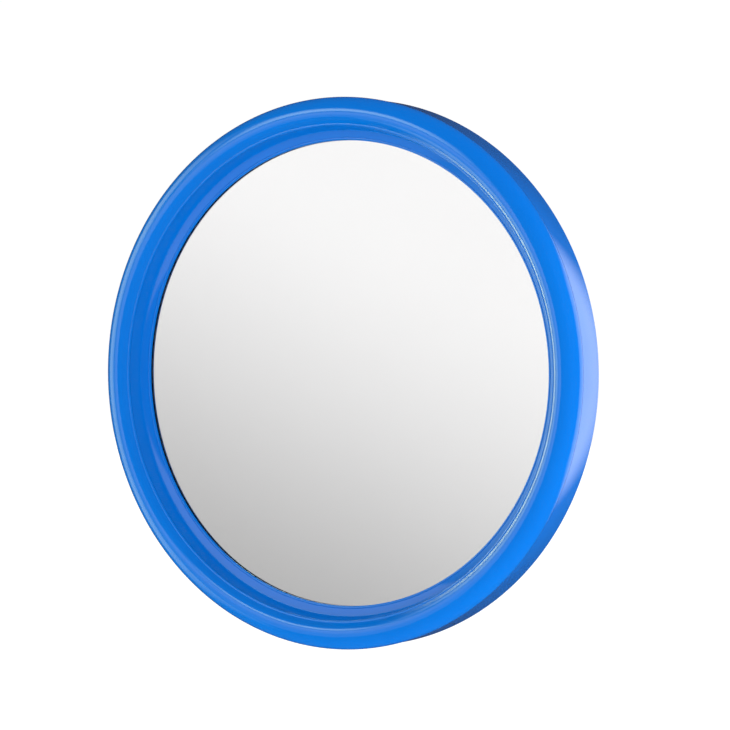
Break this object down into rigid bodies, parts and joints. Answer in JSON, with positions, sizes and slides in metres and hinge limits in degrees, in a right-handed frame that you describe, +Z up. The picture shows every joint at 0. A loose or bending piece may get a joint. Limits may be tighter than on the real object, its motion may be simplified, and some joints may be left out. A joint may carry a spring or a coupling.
{
  "type": "round wall mirror",
  "caption": "Round wall mirror in a deep rolled frame of glossy moulded plastic, with a loose backing board held by turn buttons and a keyhole hanger plate.",
  "frame": {"origin": "centre of the whole part, on the mirror's axis", "axes": "+Y along the mirror's axis towards the wall, so the glass faces -Y; +Z up; +X to the right as seen from the front"},
  "size_m": [0.5, 0.05, 0.5],
  "materials": {
    "frame_plastic": "glossy moulded blue",
    "gasket_foam": "matte black foam",
    "glass": "clear float glass",
    "silvering": "silvered, dark paint behind",
    "cushion": "thin grey closed-cell foam sheet",
    "hardboard": "brown hardboard",
    "button_plastic": "black moulded",
    "screw_steel": "zinc plated",
    "plate_steel": "zinc plated pressing",
    "bumper_rubber": "soft black rubber"
  },
  "bodies": {
    "mirror": {"frame_shell": "frame_plastic", "glass_gasket": "gasket_foam", "mirror_glass": "glass", "silver_coat": "silvering", "cushion_sheet": "cushion", "backing_board": "hardboard", "pivot_screws": "screw_steel", "pivot_washers": "screw_steel", "hanger_plate": "plate_steel", "hanger_screws": "screw_steel", "wall_bumper_1": "bumper_rubber", "wall_bumper_2": "bumper_rubber", "wall_bumper_3": "bumper_rubber", "wall_bumper_4": "bumper_rubber"},
    "turn_button_1": {"turn_button_1": "button_plastic"},
    "turn_button_2": {"turn_button_2": "button_plastic"},
    "turn_button_3": {"turn_button_3": "button_plastic"},
    "turn_button_4": {"turn_button_4": "button_plastic"},
    "turn_button_5": {"turn_button_5": "button_plastic"},
    "turn_button_6": {"turn_button_6": "button_plastic"}
  },
  "joints": [
    {"name": "turn_button_1_turn", "type": "hinge", "parent": "mirror", "child": "turn_button_1", "pos_m": [0.235, 0.0073, 0], "axis": [0, 1, 0], "range_deg": [-95, 95]},
    {"name": "turn_button_2_turn", "type": "hinge", "parent": "mirror", "child": "turn_button_2", "pos_m": [0.1175, 0.0073, 0.20352], "axis": [0, 1, 0], "range_deg": [-95, 95]},
    {"name": "turn_button_3_turn", "type": "hinge", "parent": "mirror", "child": "turn_button_3", "pos_m": [-0.1175, 0.0073, 0.20352], "axis": [0, 1, 0], "range_deg": [-95, 95]},
    {"name": "turn_button_4_turn", "type": "hinge", "parent": "mirror", "child": "turn_button_4", "pos_m": [-0.235, 0.0073, 0], "axis": [0, 1, 0], "range_deg": [-95, 95]},
    {"name": "turn_button_5_turn", "type": "hinge", "parent": "mirror", "child": "turn_button_5", "pos_m": [-0.1175, 0.0073, -0.20352], "axis": [0, 1, 0], "range_deg": [-95, 95]},
    {"name": "turn_button_6_turn", "type": "hinge", "parent": "mirror", "child": "turn_button_6", "pos_m": [0.1175, 0.0073, -0.20352], "axis": [0, 1, 0], "range_deg": [-95, 95]}
  ]
}
